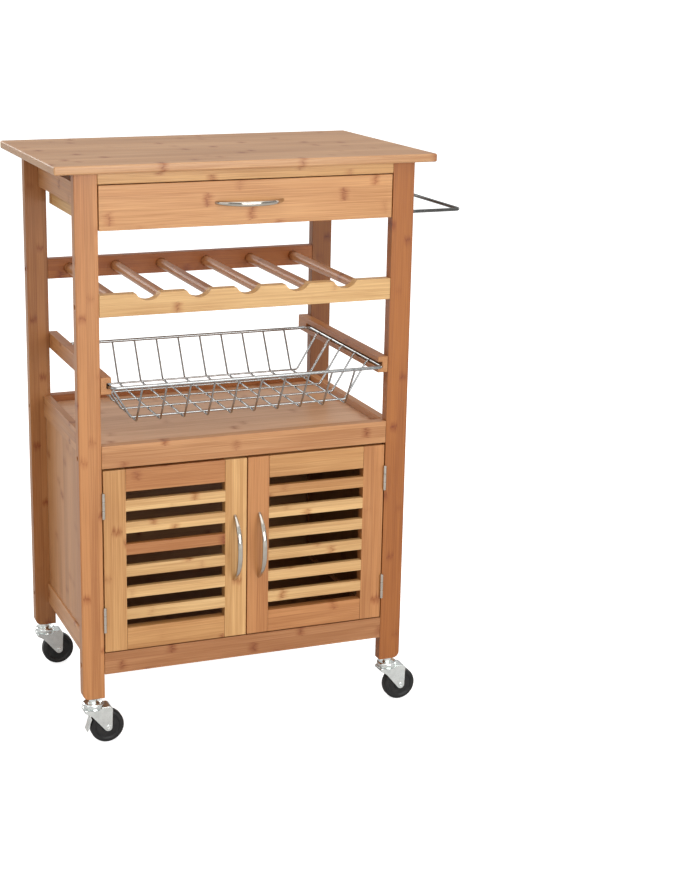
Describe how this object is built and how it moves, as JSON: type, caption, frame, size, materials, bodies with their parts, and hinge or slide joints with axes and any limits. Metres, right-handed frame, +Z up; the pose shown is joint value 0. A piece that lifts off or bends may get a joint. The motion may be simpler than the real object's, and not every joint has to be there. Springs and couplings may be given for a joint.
{
  "type": "kitchen island cart",
  "caption": "Narrow wooden kitchen trolley with a worktop, drawer, bottle rack, sliding wire basket, tray shelf, slatted two-door cabinet, towel rail and swivel casters.",
  "frame": {"origin": "centre of the bottom of the outer box, on the floor under the wheels", "axes": "+Z up, the doors and the drawer face -Y, the towel rail is on the +X side"},
  "size_m": [0.6144, 0.3602, 0.85],
  "materials": {
    "bamboo": "satin lacquered bamboo, honey to orange brown",
    "pale_bamboo": "satin lacquered bamboo, lighter yellow boards",
    "chrome": "polished wire",
    "satin_nickel": "satin nickel",
    "zinc": "bright zinc plated pressing",
    "black_rubber": "black, moulded"
  },
  "bodies": {
    "frame": {"table_top": "bamboo", "leg_front_left": "bamboo", "leg_front_right": "bamboo", "leg_rear_left": "bamboo", "leg_rear_right": "bamboo", "top_front_rail": "bamboo", "shelf_front_rail": "bamboo", "shelf_rear_rail": "bamboo", "bottom_front_rail": "bamboo", "bottom_rear_rail": "bamboo", "top_left_rail": "bamboo", "top_right_rail": "bamboo", "shelf_left_rail": "bamboo", "shelf_right_rail": "bamboo", "bottom_left_rail": "bamboo", "bottom_right_rail": "bamboo", "tray_panel": "bamboo", "cabinet_floor": "bamboo", "cabinet_back": "pale_bamboo", "cabinet_left_panel": "bamboo", "cabinet_right_panel": "bamboo", "rack_front_rail": "pale_bamboo", "rack_rear_rail": "bamboo", "rack_dowel_1": "bamboo", "rack_dowel_2": "bamboo", "rack_dowel_3": "bamboo", "rack_dowel_4": "bamboo", "rack_dowel_5": "bamboo", "rack_dowel_6": "bamboo", "basket_rail_left": "pale_bamboo", "basket_rail_right": "pale_bamboo", "towel_rail": "chrome", "hinge_lower_left_leg_leaf": "satin_nickel", "hinge_upper_left_leg_leaf": "satin_nickel", "hinge_lower_right_leg_leaf": "satin_nickel", "hinge_upper_right_leg_leaf": "satin_nickel"},
    "drawer": {"drawer_front": "bamboo", "drawer_left_side": "pale_bamboo", "drawer_right_side": "pale_bamboo", "drawer_back": "pale_bamboo", "drawer_bottom": "pale_bamboo", "drawer_handle": "satin_nickel"},
    "basket": {"wire_basket": "chrome"},
    "door_left": {"door_left": "pale_bamboo", "door_handle_left": "satin_nickel", "hinge_lower_left_door_leaf": "satin_nickel", "hinge_upper_left_door_leaf": "satin_nickel"},
    "door_right": {"door_right": "pale_bamboo", "door_handle_right": "satin_nickel", "hinge_lower_right_door_leaf": "satin_nickel", "hinge_upper_right_door_leaf": "satin_nickel"},
    "fork_front_left": {"caster_fork_front_left": "zinc"},
    "wheel_front_left": {"caster_wheel_front_left": "black_rubber"},
    "fork_front_right": {"caster_fork_front_right": "zinc"},
    "wheel_front_right": {"caster_wheel_front_right": "black_rubber"},
    "fork_rear_left": {"caster_fork_rear_left": "zinc"},
    "wheel_rear_left": {"caster_wheel_rear_left": "black_rubber"},
    "fork_rear_right": {"caster_fork_rear_right": "zinc"},
    "wheel_rear_right": {"caster_wheel_rear_right": "black_rubber"},
    "brake": {"brake_lever": "zinc"}
  },
  "joints": [
    {"name": "drawer_slide", "type": "slide", "parent": "frame", "child": "drawer", "axis": [0, -1, 0], "range_m": [0, 0.22]},
    {"name": "basket_slide", "type": "slide", "parent": "frame", "child": "basket", "axis": [0, -1, 0], "range_m": [0, 0.24]},
    {"name": "door_left_hinge", "type": "hinge", "parent": "frame", "child": "door_left", "pos_m": [-0.2436, -0.15606, 0.2802], "axis": [0, 0, -1], "range_deg": [0, 170]},
    {"name": "door_right_hinge", "type": "hinge", "parent": "frame", "child": "door_right", "pos_m": [0.1921, -0.15606, 0.2802], "axis": [0, 0, 1], "range_deg": [0, 170]},
    {"name": "swivel_front_left", "type": "hinge", "parent": "frame", "child": "fork_front_left", "pos_m": [-0.26125, -0.14536, 0.071], "axis": [0, 0, 1], "continuous": true},
    {"name": "swivel_front_right", "type": "hinge", "parent": "frame", "child": "fork_front_right", "pos_m": [0.20975, -0.14536, 0.071], "axis": [0, 0, 1], "continuous": true},
    {"name": "swivel_rear_left", "type": "hinge", "parent": "frame", "child": "fork_rear_left", "pos_m": [-0.26125, 0.15964, 0.071], "axis": [0, 0, 1], "continuous": true},
    {"name": "swivel_rear_right", "type": "hinge", "parent": "frame", "child": "fork_rear_right", "pos_m": [0.20975, 0.15964, 0.071], "axis": [0, 0, 1], "continuous": true},
    {"name": "roll_front_left", "type": "hinge", "parent": "fork_front_left", "child": "wheel_front_left", "pos_m": [-0.24125, -0.14536, 0.0255], "axis": [0, 1, 0], "continuous": true},
    {"name": "roll_front_right", "type": "hinge", "parent": "fork_front_right", "child": "wheel_front_right", "pos_m": [0.22975, -0.14536, 0.0255], "axis": [0, 1, 0], "continuous": true},
    {"name": "roll_rear_left", "type": "hinge", "parent": "fork_rear_left", "child": "wheel_rear_left", "pos_m": [-0.24125, 0.15964, 0.0255], "axis": [0, 1, 0], "continuous": true},
    {"name": "roll_rear_right", "type": "hinge", "parent": "fork_rear_right", "child": "wheel_rear_right", "pos_m": [0.22975, 0.15964, 0.0255], "axis": [0, 1, 0], "continuous": true},
    {"name": "brake_tilt", "type": "hinge", "parent": "fork_front_left", "child": "brake", "pos_m": [-0.26925, -0.14536, 0.0496], "axis": [0, 1, 0], "range_deg": [0, 25]}
  ]
}
